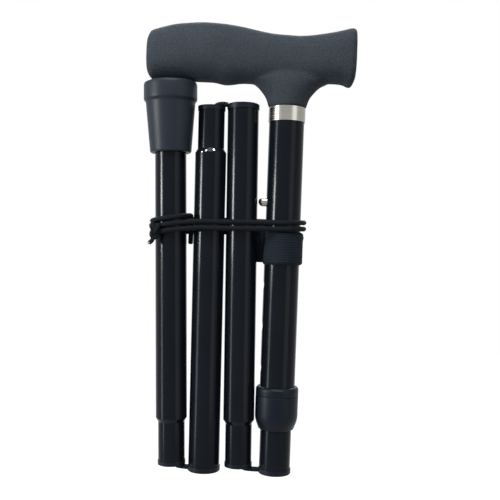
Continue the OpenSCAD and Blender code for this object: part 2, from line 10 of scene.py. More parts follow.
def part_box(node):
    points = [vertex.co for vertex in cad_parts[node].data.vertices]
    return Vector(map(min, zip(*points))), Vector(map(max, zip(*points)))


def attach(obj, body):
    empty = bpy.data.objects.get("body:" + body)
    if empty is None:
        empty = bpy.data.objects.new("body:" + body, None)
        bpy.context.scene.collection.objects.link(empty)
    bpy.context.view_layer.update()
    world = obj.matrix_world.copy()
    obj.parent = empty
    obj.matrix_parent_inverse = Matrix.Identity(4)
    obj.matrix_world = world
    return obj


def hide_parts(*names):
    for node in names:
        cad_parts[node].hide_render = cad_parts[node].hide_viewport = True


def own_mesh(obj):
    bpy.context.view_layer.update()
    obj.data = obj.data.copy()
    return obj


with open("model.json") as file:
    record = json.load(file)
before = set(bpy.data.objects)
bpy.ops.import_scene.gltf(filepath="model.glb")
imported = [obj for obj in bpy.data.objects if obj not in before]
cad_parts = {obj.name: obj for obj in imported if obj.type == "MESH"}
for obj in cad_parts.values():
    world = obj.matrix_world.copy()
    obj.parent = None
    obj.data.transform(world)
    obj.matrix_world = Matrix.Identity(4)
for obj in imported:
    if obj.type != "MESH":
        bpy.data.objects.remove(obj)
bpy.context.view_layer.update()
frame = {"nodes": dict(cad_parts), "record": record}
MOUNTS = {mount["name"]: mount for mount in frame["record"]["mounts"]}
MM = 0.001
scene = bpy.context.scene
scene.view_settings.view_transform = "Standard"


def lean_up(degrees):
    """The way up, as (x, z), along a section whose top leans away from the shaft."""
    return Vector((-math.sin(math.radians(degrees)), math.cos(math.radians(degrees))))


# Places read from the frame, in metres
SHAFT_LOW, SHAFT_HIGH = (Vector(corner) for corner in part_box("upper_tube"))
THIRD_LOW, THIRD_HIGH = (Vector(corner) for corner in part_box("third_tube"))
SHAFT_X = (SHAFT_LOW.x + SHAFT_HIGH.x) / 2
TIP_GROUND = Vector(MOUNTS["tip_ground_face"]["pos_m"])
TIP_INWARD = -Vector(MOUNTS["tip_ground_face"]["axis"])

# Sizes of the CAD source that the soft and rounded pieces follow, in millimetres and degrees
SEAT_GAP, SLIDE_GAP, THREAD_GAP = 0.02, 0.1, 0.1
TUBE_R, UPPER_R, UPPER_FOOT = 9.5, 10.7, 36
SPIGOT_LEN, CAP_T = 26, 2.6
SECTION_LEN, THIRD_LEN = 220.6, 221.802
SECOND_LEAN, THIRD_LEAN, BOTTOM_LEAN = 1.2, 0.75, 2.2
SHAFT_UP, SECOND_UP = lean_up(0), lean_up(SECOND_LEAN)
THIRD_UP, BOTTOM_UP = lean_up(THIRD_LEAN), lean_up(BOTTOM_LEAN)
# Distance across each fold, and how far a section's end stands back at a low fold and at the top one
FOLD_UPPER, FOLD_MIDDLE, FOLD_LOWER = 22.2, 19.2, 19.7
RECESS_LOW, RECESS_TOP = 3.4, 2

# Ends of the sections on their axes, as (x, z) from the shaft's foot
SHAFT_FOOT = Vector((0, 0))
SECOND_END = Vector((-FOLD_UPPER, RECESS_LOW))
SECOND_MOUTH = SECOND_END + SECTION_LEN * SECOND_UP
THIRD_END = SECOND_MOUTH - Vector((FOLD_MIDDLE, RECESS_TOP))
THIRD_MOUTH = THIRD_END - THIRD_LEN * THIRD_UP
BOTTOM_END = Vector((THIRD_MOUTH.x - FOLD_LOWER, RECESS_LOW))


# Building blocks of the materials

def put(tree, node, inputs):
    """Sets a node's inputs, by name or number: constants (colours without alpha) or other nodes' outputs."""
    for key, value in inputs.items():
        socket = node.inputs[key]
        if isinstance(value, bpy.types.NodeSocket):
            tree.links.new(value, socket)
        else:
            socket.default_value = (*value, 1) if socket.type == "RGBA" else value


def add_node(tree, kind, inputs, **settings):
    """Outputs of a new node with the given settings and inputs."""
    node = tree.nodes.new(kind)
    for name, value in settings.items():
        setattr(node, name, value)
    put(tree, node, inputs)
    return node.outputs


def new_material(name):
    """A Principled material, with its tree and its shader for procedural detail."""
    mat = bpy.data.materials.new(name)
    mat.use_nodes = True
    return mat, mat.node_tree, mat.node_tree.nodes["Principled BSDF"]


def coords(tree, kind="Object", scale=(1, 1, 1)):
    """Coordinates on the piece itself, stretched by scale."""
    source = add_node(tree, "ShaderNodeTexCoord", {})[kind]
    return add_node(tree, "ShaderNodeMapping", {"Vector": source, "Scale": scale})["Vector"]


def noise(tree, vector, scale, detail):
    inputs = {"Vector": vector, "Scale": scale, "Detail": detail}
    return add_node(tree, "ShaderNodeTexNoise", inputs)["Fac"]


def ramp(tree, value, spread, result=(0.0, 1.0)):
    """A value mapped from its spread (low, high) to the result (low, high), clamped."""
    ends = dict(zip(("From Min", "From Max", "To Min", "To Max"), (*spread, *result)))
    return add_node(tree, "ShaderNodeMapRange", {"Value": value, **ends})["Result"]


def maths(tree, operation, *values):
    return add_node(tree, "ShaderNodeMath", dict(enumerate(values)), operation=operation)["Value"]


def mix_color(tree, share, low, high, blend="MIX"):
    inputs = {"Factor": share, "A": low, "B": high}
    return add_node(tree, "ShaderNodeMix", inputs, data_type="RGBA", blend_type=blend)["Result"]


def bump(tree, height, strength, distance):
    inputs = {"Height": height, "Strength": strength, "Distance": distance}
    return add_node(tree, "ShaderNodeBump", inputs)["Normal"]


def stirred(tree, place, scale, reach):
    """Coordinates that noise moves about, by up to reach on each axis."""
    stir = add_node(tree, "ShaderNodeTexNoise", {"Vector": place, "Scale": scale})["Color"]
    inputs = {0: stir, 1: (reach, reach, reach), 2: place}
    return add_node(tree, "ShaderNodeVectorMath", inputs, operation="MULTIPLY_ADD")["Vector"]


# Chips on the third section's shoulder: across from its axis, above the shoulder's top, and radius, in mm
CHIPS = [(-2.4, -0.3, 0.8), (-2.5, -2.0, 0.7), (2.2, -1.2, 0.8), (-4.1, 0.6, 0.5), (-4.7, -2.8, 0.5)]
# The tube's radius there, how ragged the chips' edges are, and the share of a chip's radius that is bare
CHIP_FRONT_R = 9.1
CHIP_RAGGED = 0.9 * MM
CHIP_RAGGED_SCALE = 1400
CHIP_CORE_SHARE = 0.75
CHIP_ROUGHER = 0.2
# The middle of the shoulder stands this far from the tube's left side
SHOULDER_REACH = 9.6
SHOULDER_X = THIRD_LOW.x + SHOULDER_REACH * MM
SHOULDER_Z = THIRD_HIGH.z + (CAP_T - SPIGOT_LEN) * MM


def chip_spots():
    """Places of the chips on the front of the tube, and how far each reaches."""
    spots = []
    for across, rise, radius in CHIPS:
        depth = math.sqrt(CHIP_FRONT_R ** 2 - across ** 2)
        place = (SHOULDER_X + across * MM, -depth * MM, SHOULDER_Z + rise * MM)
        spots.append((place, radius * MM))
    return spots


def chip_mask(tree, place):
    """One inside each ragged chip and zero outside them."""
    ragged = stirred(tree, place, CHIP_RAGGED_SCALE, CHIP_RAGGED)
    mask = None
    for centre, radius in chip_spots():
        # The noise is about one half, so the stirred coordinates lie half a reach further on
        middle = [c + CHIP_RAGGED / 2 for c in centre]
        away = add_node(tree, "ShaderNodeVectorMath", {0: ragged, 1: middle}, operation="DISTANCE")["Value"]
        spot = ramp(tree, away, spread=(radius * CHIP_CORE_SHARE, radius), result=(1.0, 0.0))
        mask = spot if mask is None else maths(tree, "MAXIMUM", mask, spot)
    return mask


def tube_material(name, chipped=False):
    """Gloss black coat with faint orange peel; a chipped one is worn to metal in spots."""
    dark, light, bare_metal = (0.0015, 0.0024, 0.0042), (0.0034, 0.0048, 0.0072), (0.86, 0.84, 0.8)
    mat, tree, shader = new_material(name)
    place = coords(tree)
    tone = noise(tree, place, scale=60, detail=4)
    scuff = noise(tree, coords(tree, scale=(1, 1, 0.06)), scale=900, detail=2)
    peel = noise(tree, place, scale=420, detail=2)
    color = mix_color(tree, tone, dark, light)
    rough = ramp(tree, scuff, spread=(0.35, 0.75), result=(0.12, 0.2))
    if chipped:
        worn = chip_mask(tree, place)
        color = mix_color(tree, worn, color, bare_metal)
        rough = maths(tree, "MULTIPLY_ADD", worn, CHIP_ROUGHER, rough)
        put(tree, shader, {"Metallic": worn})
    put(tree, shader, {
        "Base Color": color, "Roughness": rough, "Specular IOR Level": 0.075,
        "Normal": bump(tree, peel, strength=0.025, distance=0.4 * MM),
    })
    return mat


def grip_material():
    """Moulded grip: slate grey with a pebbled leather grain, and painted shade darkening its creases."""
    dark, light = (0.0232, 0.0286, 0.0364), (0.035, 0.0416, 0.0502)
    mat, tree, shader = new_material("grip_grain")
    place = coords(tree)
    uneven = stirred(tree, place, scale=900, reach=0.5 * MM)
    inputs = {"Vector": uneven, "Scale": 1100}
    edges = add_node(tree, "ShaderNodeTexVoronoi", inputs, feature="DISTANCE_TO_EDGE")["Distance"]
    pebble = ramp(tree, edges, spread=(0.0, 0.28))
    dust = mix_color(tree, noise(tree, place, scale=45, detail=5), dark, light)
    # Painted shade: the colour is darkened near the pebbles' edges, in the creases of the grain.
    painted_crease_shade = ramp(tree, pebble, spread=(0.0, 1.0), result=(0.62, 1.06))
    put(tree, shader, {
        "Base Color": mix_color(tree, 1.0, dust, painted_crease_shade, blend="MULTIPLY"),
        "Roughness": ramp(tree, pebble, spread=(0.0, 1.0), result=(0.85, 0.62)),
        "Specular IOR Level": 0.05,
        "Normal": bump(tree, pebble, strength=0.55, distance=0.22 * MM),
    })
    return mat


def rubber_material(name, dark, light, roughness):
    """Satin moulded rubber or plastic with a cloudy tone and a fine matte grain, between two roughnesses."""
    mat, tree, shader = new_material(name)
    place = coords(tree)
    tone = noise(tree, place, scale=70, detail=5)
    grain = noise(tree, place, scale=1600, detail=3)
    put(tree, shader, {
        "Base Color": mix_color(tree, tone, dark, light),
        "Roughness": ramp(tree, grain, spread=(0.3, 0.7), result=roughness),
        "Specular IOR Level": 0.1,
        "Normal": bump(tree, grain, strength=0.12, distance=0.3 * MM),
    })
    return mat


def steel_material(name, color, roughness, mark_scale):
    """Bright steel with fine marks, drawn out the way that mark_scale is small, between two roughnesses."""
    dull_share = 0.82
    dull = [dull_share * c for c in color]
    mat, tree, shader = new_material(name)
    marks = noise(tree, coords(tree, scale=mark_scale), scale=1, detail=4)
    put(tree, shader, {
        "Base Color": mix_color(tree, marks, dull, color),
        "Metallic": 1.0,
        "Roughness": ramp(tree, marks, spread=(0.3, 0.7), result=roughness),
        "Normal": bump(tree, marks, strength=0.1, distance=0.08 * MM),
    })
    return mat


def turns_along(tree, axis, count):
    """An angle that makes count full turns in one unit of a cord's or cloth's own coordinate."""
    parts = add_node(tree, "ShaderNodeSeparateXYZ", {"Vector": coords(tree, "UV")})
    return maths(tree, "MULTIPLY", parts[axis], count * 2 * math.pi)


# Turns of a cord's yarns in a metre of its length and once round it, and of the webbing's in a metre
BRAID_ALONG, BRAID_AROUND, WEBBING_ALONG = 500, 6, 1600
# How much the fuzz adds to the height of the yarns
BRAID_FUZZ, WEBBING_FUZZ = 0.35, 0.6


def braid_material(name, dark, light):
    """Braided elastic: two sets of yarns crossing on the cord's own coordinates, with painted shade where the
    yarns lie low.
    """
    mat, tree, shader = new_material(name)
    along = turns_along(tree, "X", BRAID_ALONG)
    around = turns_along(tree, "Y", BRAID_AROUND)
    right, left = (maths(tree, "SINE", maths(tree, cross, along, around)) for cross in ("ADD", "SUBTRACT"))
    yarn = ramp(tree, maths(tree, "MAXIMUM", right, left), spread=(-0.2, 1.0))
    fuzz = noise(tree, coords(tree), scale=2400, detail=2)
    height = maths(tree, "MULTIPLY_ADD", fuzz, BRAID_FUZZ, yarn)
    # Painted shade: the colour goes dark between the yarns, where they lie low, and light on their tops.
    put(tree, shader, {
        "Base Color": mix_color(tree, yarn, dark, light), "Roughness": 0.7, "Specular IOR Level": 0.06,
        "Normal": bump(tree, height, strength=0.7, distance=0.25 * MM),
    })
    return mat


def webbing_material():
    """Ribbed elastic webbing: fine cross yarns between the ribs, with a soft sheen."""
    dark, light = (0.004, 0.0064, 0.0096), (0.0066, 0.0096, 0.0142)
    mat, tree, shader = new_material("ribbed_webbing")
    place = coords(tree)
    yarn = ramp(tree, maths(tree, "SINE", turns_along(tree, "X", WEBBING_ALONG)), spread=(-1.0, 1.0))
    fuzz = noise(tree, place, scale=2600, detail=3)
    height = maths(tree, "MULTIPLY_ADD", fuzz, WEBBING_FUZZ, yarn)
    tone = noise(tree, place, scale=160, detail=4)
    put(tree, shader, {
        "Base Color": mix_color(tree, tone, dark, light), "Roughness": 0.75, "Specular IOR Level": 0.06,
        "Normal": bump(tree, height, strength=0.5, distance=0.18 * MM),
    })
    return mat


PLASTIC_DARK, PLASTIC_LIGHT = (0.0012, 0.0026, 0.0056), (0.0026, 0.0046, 0.0088)
SATIN, MATTE, POLISHED, PLAIN = (0.34, 0.48), (0.49, 0.63), (0.15, 0.32), (0.28, 0.45)
MARKS_ROUND, MARKS_ALONG = (40, 40, 2600), (2600, 2600, 60)
MATERIALS = {
    "tube": tube_material("black_gloss_coat"),
    "chipped": tube_material("black_gloss_chipped", chipped=True),
    "grip": grip_material(),
    "tip": rubber_material("tip_satin_rubber", (0.008, 0.011, 0.016), (0.012, 0.016, 0.023), SATIN),
    "plastic": rubber_material("black_satin_plastic", PLASTIC_DARK, PLASTIC_LIGHT, SATIN),
    "core": rubber_material("core_plastic", (0.16, 0.16, 0.17), (0.2, 0.2, 0.21), MATTE),
    "ring": steel_material("brushed_ring", (0.32, 0.31, 0.28), POLISHED, MARKS_ROUND),
    "steel": steel_material("plain_steel", (0.5, 0.51, 0.53), PLAIN, MARKS_ALONG),
    "strap": braid_material("strap_braid", (0.0012, 0.0018, 0.0028), (0.0048, 0.0064, 0.0082)),
    "shock": braid_material("shock_braid", (0.004, 0.005, 0.006), (0.012, 0.014, 0.017)),
    "webbing": webbing_material(),
}

# Finish of each CAD node
CAD_FINISH = {
    "tube": ["upper_tube", "height_tube", "second_tube", "bottom_tube"],
    "chipped": ["third_tube"],
    "plastic": [
        "lock_collet", "lock_nut", "glide_bush", "upper_cord_anchor", "lower_cord_anchor",
        "height_tube_mouth", "second_mouth", "third_mouth",
        "second_spigot_cap", "third_spigot_cap", "bottom_spigot_cap",
    ],
    "ring": ["collar_ring", "snap_button"],
    "steel": ["handle_pin", "button_spring", "tip_washer"],
    "shock": [
        "shock_cord_upper", "shock_cord_second", "shock_cord_third", "shock_cord_bottom",
        "shock_cord_upper_fold", "shock_cord_middle_fold", "shock_cord_lower_fold",
    ],
    "core": ["handle_core"],
    "tip": ["rubber_tip"],
    "webbing": ["strap_band"],
    "grip": ["handle_grip"],
    "strap": ["strap_cord"],
}
for finish, names in CAD_FINISH.items():
    for name in names:
        node = frame["nodes"][name]
        node.data.materials.clear()
        node.data.materials.append(MATERIALS[finish])


# Building blocks of the shapes; a form is points, faces and, where a material needs them, corner coordinates

def in_row(x, y, z):
    """A place given from the shaft's foot in millimetres, in the frame's metres."""
    return Vector((SHAFT_X + x * MM, y * MM, z * MM))


def axis_x(end, lean, z):
    """Where the axis of a leaning section stands at a height."""
    return end.x + (end.y - z) * math.tan(math.radians(lean))


def new_mesh(name, form):
    """A mesh whose faces all look outward."""
    verts, faces, corner_uvs = form
    mesh = bpy.data.meshes.new(name)
    mesh.from_pydata(verts, [], faces)
    if corner_uvs:
        layer = mesh.uv_layers.new(name="UVMap")
        for spot, uv in zip(layer.data, corner_uvs):
            spot.uv = uv
    work = bmesh.new()
    work.from_mesh(mesh)
    bmesh.ops.recalc_face_normals(work, faces=work.faces)
    work.to_mesh(mesh)
    work.free()
    return mesh


def new_object(name, data):
    obj = bpy.data.objects.new(name, data)
    scene.collection.objects.link(obj)
    return obj


def new_piece(name, form, finish, body, nodes, sharp=60):
    """A shown piece that rides on a body and stands for CAD nodes; edges past sharp degrees stay crisp."""
    mesh = new_mesh(name, form)
    mesh.shade_smooth()
    mesh.set_sharp_from_angle(angle=math.radians(sharp))
    mesh.materials.append(MATERIALS[finish])
    obj = new_object(name, mesh)
    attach(obj, body)
    if nodes:
        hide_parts(*nodes)
    return obj


def joined(forms):
    """One form made of several."""
    verts, faces, uvs = [], [], []
    for some_verts, some_faces, some_uvs in forms:
        faces += [tuple(i + len(verts) for i in face) for face in some_faces]
        verts += some_verts
        uvs += some_uvs
    return verts, faces, uvs


def spline(points, steps):
    """Points on a smooth line through the given points, of any dimension."""
    ends = [points[0], *points, points[-1]]
    line = []
    for a, b, c, d in zip(ends, ends[1:], ends[2:], ends[3:]):
        for step in range(steps):
            t = step / steps
            line.append([
                0.5 * (2 * q + (r - p) * t
                       + (2 * p - 5 * q + 4 * r - s) * t ** 2
                       + (3 * q - p - 3 * r + s) * t ** 3)
                for p, q, r, s in zip(a, b, c, d)
            ])
    line.append(list(points[-1]))
    return line


def headings_of(path):
    """The way a path goes at each of its points."""
    last = len(path) - 1
    return [(path[min(i + 1, last)] - path[max(i - 1, 0)]).normalized() for i in range(len(path))]


def circle(count):
    """Cosine and sine of equal steps all round."""
    turns = [2 * math.pi * step / count for step in range(count)]
    return [(math.cos(turn), math.sin(turn)) for turn in turns]


def faces_between(low, high, count, closed=True):
    """Four-sided faces between two rows of points, numbered on from low and from high."""
    faces = []
    for step in range(count if closed else count - 1):
        after = (step + 1) % count
        faces.append((low + step, low + after, high + after, high + step))
    return faces


def rounded(corners, steps=5):
    """An outline whose corners (r, h, radius) are rounded off; a rounding takes less than half of a side."""
    side_share = 0.45
    outline = []
    for i, (r, h, radius) in enumerate(corners):
        here = Vector((r, h))
        if not radius:
            outline.append(here)
            continue
        before = Vector(corners[i - 1][:2]) - here
        after = Vector(corners[(i + 1) % len(corners)][:2]) - here
        start = here + before.normalized() * min(radius, before.length * side_share)
        stop = here + after.normalized() * min(radius, after.length * side_share)
        for step in range(steps + 1):
            t = step / steps
            outline.append(start * (1 - t) ** 2 + here * 2 * t * (1 - t) + stop * t ** 2)
    return outline


def lathe(outline, base, axis, segments=112):
    """A turned form: the outline's (r, h) in millimetres, closed on itself, about an axis from base."""
    axis = axis.normalized()
    side = axis.cross(Vector((0, 1, 0))).normalized()
    other = axis.cross(side)
    verts, rings = [], []
    for r, h in outline:
        middle = base + axis * h * MM
        if r == 0:
            rings.append([len(verts)] * segments)
            verts.append(middle)
            continue
        rings.append(list(range(len(verts), len(verts) + segments)))
        verts += [middle + (side * over + other * up) * r * MM for over, up in circle(segments)]
    faces = []
    for low, high in zip(rings, rings[1:] + rings[:1]):
        for step in range(segments):
            after = (step + 1) % segments
            corners = list(dict.fromkeys([low[step], low[after], high[after], high[step]]))
            if len(corners) > 2:
                faces.append(corners)
    return verts, faces, []


def sweep(path, radius, sides=16):
    """A round cord along a path, with rounded-off ends and coordinates along and around it."""
    end_reach, end_share = 0.4 * radius, 0.6
    headings = headings_of(path)
    stations = [
        (path[0] - headings[0] * end_reach, headings[0], end_share),
        *((point, heading, 1.0) for point, heading in zip(path, headings)),
        (path[-1] + headings[-1] * end_reach, headings[-1], end_share),
    ]
    side = headings[0].orthogonal().normalized()
    verts, lengths = [], [0.0]
    for i, (middle, heading, share) in enumerate(stations):
        side = (side - heading * side.dot(heading)).normalized()
        other = heading.cross(side)
        verts += [middle + (side * over + other * up) * radius * share for over, up in circle(sides)]
        if i:
            lengths.append(lengths[-1] + (middle - stations[i - 1][0]).length)
    faces, uvs = [], []
    for i, (start, stop) in enumerate(zip(lengths, lengths[1:])):
        faces += faces_between(i * sides, (i + 1) * sides, sides)
        for step in range(sides):
            low, high = step / sides, (step + 1) / sides
            uvs += [(start, low), (start, high), (stop, high), (stop, low)]
    last = len(verts) - sides
    faces += [tuple(reversed(range(sides))), tuple(range(last, last + sides))]
    uvs += [(0.0, 0.0)] * sides + [(lengths[-1], 0.0)] * sides
    return verts, faces, uvs


def skin(rings):
    """A closed form through rings of equal count."""
    count = len(rings[0])
    verts = [point for ring in rings for point in ring]
    faces = [tuple(range(count)), tuple(range(len(verts) - count, len(verts)))]
    for i in range(len(rings) - 1):
        faces += faces_between(i * count, (i + 1) * count, count)
    return verts, faces, []


# Grip: bar and neck drawn as stations, then melted into one moulding

# The bar's heel lies to the left of the shaft's axis; the neck starts as a circle on the collar ring
GRIP_LENGTH, GRIP_HEEL, GRIP_HEIGHT, GRIP_DEPTH = 126.4, 86, 37, 29
NECK_HEIGHT, NECK_WIDTH, NECK_DEPTH, NECK_START_R = 12.9, 54, 25.8, 11.4
# Heights from the shaft's foot
GRIP_Z = 235.4
NECK_Z = GRIP_Z - NECK_HEIGHT
# Power of the bar's rounded outline, and how finely the bar and neck are drawn and melted together
GRIP_POWER = 2.6
GRIP_SIDES, GRIP_STEPS = 64, 5
MELT_VOXEL, EASE_FACTOR, EASE_ROUNDS = 0.8, 0.5, 7
# Shares of the grip's length, of its height (top and underside) and of its depth
GRIP_SHARES = [
    (0, 0.72, 0.16, 0.7), (0.016, 0.83, 0.08, 0.86), (0.042, 0.87, 0.055, 0.93), (0.127, 0.95, 0.05, 1),
    (0.206, 0.985, 0.05, 1), (0.27, 1, 0.05, 1), (0.324, 0.995, 0.045, 0.99), (0.385, 0.98, 0.01, 0.98),
    (0.457, 0.945, 0.045, 0.96), (0.522, 0.9, 0.045, 0.95), (0.6, 0.855, 0.045, 0.94),
    (0.68, 0.84, 0.045, 0.93), (0.73, 0.835, 0.045, 0.92), (0.8, 0.86, 0.055, 0.91),
    (0.88, 0.91, 0.09, 0.9), (0.94, 0.96, 0.08, 0.88), (0.98, 1, 0.035, 0.84), (1, 0.98, 0.16, 0.7),
]
# Shares of the neck's height, and of its growth in width and in depth
NECK_SHARES = [
    (0, 0, 0), (0.2, 0.045, 0.3), (0.5, 0.14, 0.65), (0.8, 0.33, 0.9), (1.05, 0.54, 1),
    (1.25, 0.84, 0.95), (1.6, 1, 0.6),
]


def bulge(value):
    """A circle's cosine or sine, made fuller towards a rounded square."""
    return math.copysign(abs(value) ** (2 / GRIP_POWER), value)


def bar_rings():
    """Outlines across the bar, from its heel to its toe."""
    for along, top, low, depth in spline(GRIP_SHARES, GRIP_STEPS):
        high_z, low_z = GRIP_Z + top * GRIP_HEIGHT, GRIP_Z + low * GRIP_HEIGHT
        x = along * GRIP_LENGTH - GRIP_HEEL
        half_depth, half_height = depth * GRIP_DEPTH / 2, (high_z - low_z) / 2
        yield [
            in_row(x, half_depth * bulge(over), (high_z + low_z) / 2 + half_height * bulge(up))
            for over, up in circle(GRIP_SIDES)
        ]


def neck_rings():
    """Outlines across the neck, from the collar ring up into the bar."""
    for height, width, depth in spline(NECK_SHARES, GRIP_STEPS):
        half_width = NECK_START_R + width * (NECK_WIDTH / 2 - NECK_START_R)
        half_depth = NECK_START_R + depth * (NECK_DEPTH / 2 - NECK_START_R)
        z = NECK_Z + height * NECK_HEIGHT
        yield [in_row(half_width * over, half_depth * up, z) for over, up in circle(GRIP_SIDES)]


def make_grip():
    """Bar and neck melted together and eased, with a flat end of the neck on the ring."""
    rough = new_mesh("grip_rough", joined([skin(list(bar_rings())), skin(list(neck_rings()))]))
    form = new_object("grip_form", rough)
    melt = form.modifiers.new("melt", "REMESH")
    melt.mode = "VOXEL"
    melt.voxel_size = MELT_VOXEL * MM
    ease = form.modifiers.new("ease", "SMOOTH")
    ease.factor = EASE_FACTOR
    ease.iterations = EASE_ROUNDS
    done = form.evaluated_get(bpy.context.evaluated_depsgraph_get()).to_mesh()
    points = [vertex.co.copy() for vertex in done.vertices]
    polygons = [tuple(polygon.vertices) for polygon in done.polygons]
    bpy.data.objects.remove(form)
    for point in points:
        point.z = max(point.z, NECK_Z * MM)
    moulding = (points, polygons, [])
    new_piece("grip_moulding", moulding, "grip", "handle_shaft", ["handle_grip"], sharp=70)


# Rubber tip: radii, and heights from its ground face

TIP_FOOT_R, TIP_BODY_R, TIP_NECK_R, TIP_BORE_R = 16.3, 15.1, 12.5, 9.55
TIP_FOOT_TOP, TIP_BODY_LOW, TIP_TOP, TIP_FLOOR = 11, 12.15, 43, 7
TREAD_RINGS, TREAD_SHARE, TREAD_PITCH_SHARE = 3, 0.1, 2.4
TREAD_W = TREAD_SHARE * TIP_FOOT_R
TREAD_PITCH = TREAD_PITCH_SHARE * TREAD_W


def make_tip():
    corners = [(0, 0, 0)]
    for ring in range(1, TREAD_RINGS + 1):
        outer = ring * TREAD_PITCH
        inner = outer - TREAD_W
        corners += [(inner, 0, 0.25), (inner, TREAD_W, 0.3), (outer, TREAD_W, 0.3), (outer, 0, 0.25)]
    corners += [
        (TIP_FOOT_R, 0, 2.4), (TIP_FOOT_R, TIP_FOOT_TOP, 1.1), (TIP_BODY_R, TIP_BODY_LOW, 0.9),
        (TIP_NECK_R, TIP_TOP, 1.1), (TIP_BORE_R, TIP_TOP, 0.5), (TIP_BORE_R, TIP_FLOOR, 0), (0, TIP_FLOOR, 0),
    ]
    form = lathe(rounded(corners), TIP_GROUND, TIP_INWARD)
    new_piece("tip_moulding", form, "tip", "bottom_section", ["rubber_tip"], sharp=50)


# Lock collar: collet on the upper tube and the nut that turns on it, with heights from the shaft's foot

LOCK_R, LOCK_FOOT, LOCK_TAPER, LOCK_SPLIT = 13, 27.2, 6, 47.6
COLLET_R, FLANGE_H, FLANGE_CHAMFER = 11.7, 5.4, 1.2
NUT_FOOT_R = 10.75


def make_lock():
    barrel_low = LOCK_FOOT + LOCK_TAPER
    flange_low = LOCK_SPLIT + THREAD_GAP
    flange_top = flange_low + FLANGE_H
    seat_r, seat_low = UPPER_R + SEAT_GAP, UPPER_FOOT - SEAT_GAP
    collet_bore = TUBE_R + SLIDE_GAP + SEAT_GAP
    nut_bore = TUBE_R + 2 * SLIDE_GAP
    thread_r, nut_floor = COLLET_R + THREAD_GAP, barrel_low - THREAD_GAP
    collet = [
        (seat_r, flange_top, 0.1), (LOCK_R - FLANGE_CHAMFER, flange_top, 0.5),
        (LOCK_R, flange_top - FLANGE_CHAMFER, 0.9), (LOCK_R, flange_low, 0.35),
        (COLLET_R, flange_low, 0), (COLLET_R, barrel_low, 0), (collet_bore, barrel_low, 0),
        (collet_bore, seat_low, 0), (seat_r, seat_low, 0),
    ]
    nut = [
        (nut_bore, LOCK_FOOT, 0.2), (NUT_FOOT_R, LOCK_FOOT, 0.6), (LOCK_R, barrel_low, 2.6),
        (LOCK_R, LOCK_SPLIT, 0.4), (thread_r, LOCK_SPLIT, 0.1), (thread_r, nut_floor, 0),
        (nut_bore, nut_floor, 0),
    ]
    foot, up = in_row(0, 0, 0), Vector((0, 0, 1))
    flange, sleeve = (lathe(rounded(corners), foot, up) for corners in (collet, nut))
    new_piece("lock_flange", flange, "plastic", "handle_shaft", ["lock_collet"], sharp=50)
    new_piece("lock_sleeve", sleeve, "plastic", "lock_nut", ["lock_nut"], sharp=50)


# Elastic cord at the folds: routes are over from the section's axis and into its end, in millimetres

CORD_R, CAP_CORD_R = 1.5, 1.4
CORD_STEPS = 5
LOW_MOUTH_ROUTE = [(0, 30), (0, 22), (0, 14), (1.2, 8), (4.2, 3.4), (8, 1.7), (10.5, 1.65)]
TOP_MOUTH_ROUTE = [(0, 30), (0, 22), (0, 14), (1.2, 8), (4, 3.6), (7.6, 1.4), (10, 0.2)]
CAP_ROUTE = [(6.5, -1.75), (3.4, -1.1), (1, 1.2), (0.1, 4.2), (0, 7), (0, 9)]
# At the top fold the cord goes deeper into the cap, and so stays in it when that section slides on its seat
DEEP_CAP_ROUTE = CAP_ROUTE + [(0, 20), (0, 36)]
# Cord at the face of the two low caps, seen in the narrow gap when the sections line up, not yet seated
CAP_CORD_DEPTHS = (9, 6, 3, 0.5, -0.8, -1.4)


def shock_piece(name, path, radius, body, nodes):
    return new_piece(name, sweep(path, radius * MM), "shock", body, nodes)


def fold_cord(name, mouth, cap, body, node):
    """The cord out of one section's mouth and into the next one's cap.

    Mouth and cap are each a section's end, the way into it, the side that the cord goes to, and its route.
    """
    route = []
    for end, inward, side, steps in (mouth, cap):
        across = Vector((inward.y, -inward.x)) * side
        route += [end + across * over + inward * into for over, into in steps]
    path = [in_row(x, 0, z) for x, z in spline(route, CORD_STEPS)]
    obj = shock_piece(name, path, CORD_R, body, [node])
    end, inward = mouth[:2]
    across = Vector((inward.y, 0, -inward.x))
    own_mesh(obj)


def cap_cord(name, cap, inward, body):
    """A short straight run of cord at the face of a cap."""
    places = [cap + inward * depth for depth in CAP_CORD_DEPTHS]
    shock_piece(name, [in_row(x, 0, z) for x, z in places], CAP_CORD_R, body, [])


def make_fold_cords():
    fold_cord("upper_fold_cord", (SHAFT_FOOT, SHAFT_UP, -1, LOW_MOUTH_ROUTE),
              (SECOND_END, SECOND_UP, 1, CAP_ROUTE), "height_tube", "shock_cord_upper_fold")
    fold_cord("middle_fold_cord", (SECOND_MOUTH, -SECOND_UP, 1, TOP_MOUTH_ROUTE),
              (THIRD_END, -THIRD_UP, -1, DEEP_CAP_ROUTE), "second_section",
              "shock_cord_middle_fold")
    fold_cord("lower_fold_cord", (THIRD_MOUTH, THIRD_UP, -1, LOW_MOUTH_ROUTE),
              (BOTTOM_END, BOTTOM_UP, 1, CAP_ROUTE), "third_section", "shock_cord_lower_fold")
    cap_cord("second_cap_cord", SECOND_END, SECOND_UP, "second_section")
    cap_cord("bottom_cap_cord", BOTTOM_END, BOTTOM_UP, "bottom_section")


# Strap cord, wound round the bundle from the band on the shaft

BAND_R, BAND_T, BAND_Z, BAND_H = UPPER_R + SEAT_GAP, 0.9, 127, 20
# The cord's radius, its distance from the tubes, and how far below the band's top it starts
STRAP_R, STRAP_GAP, STRAP_DROP = 1.5, 0.5, 2.6
STRAP_PITCH, STRAP_TURNS = 3.8, 2.5
# The winding's height over the start, its slope up to the shaft, and its steeper fall past the third section
STRAP_LIFT, STRAP_SLOPE, STRAP_FALL = 1.7, 0.01, 0.125
STRAP_Z = BAND_Z + BAND_H - STRAP_DROP
STRAP_BEND_X = axis_x(THIRD_END, THIRD_LEAN, STRAP_Z) - TUBE_R
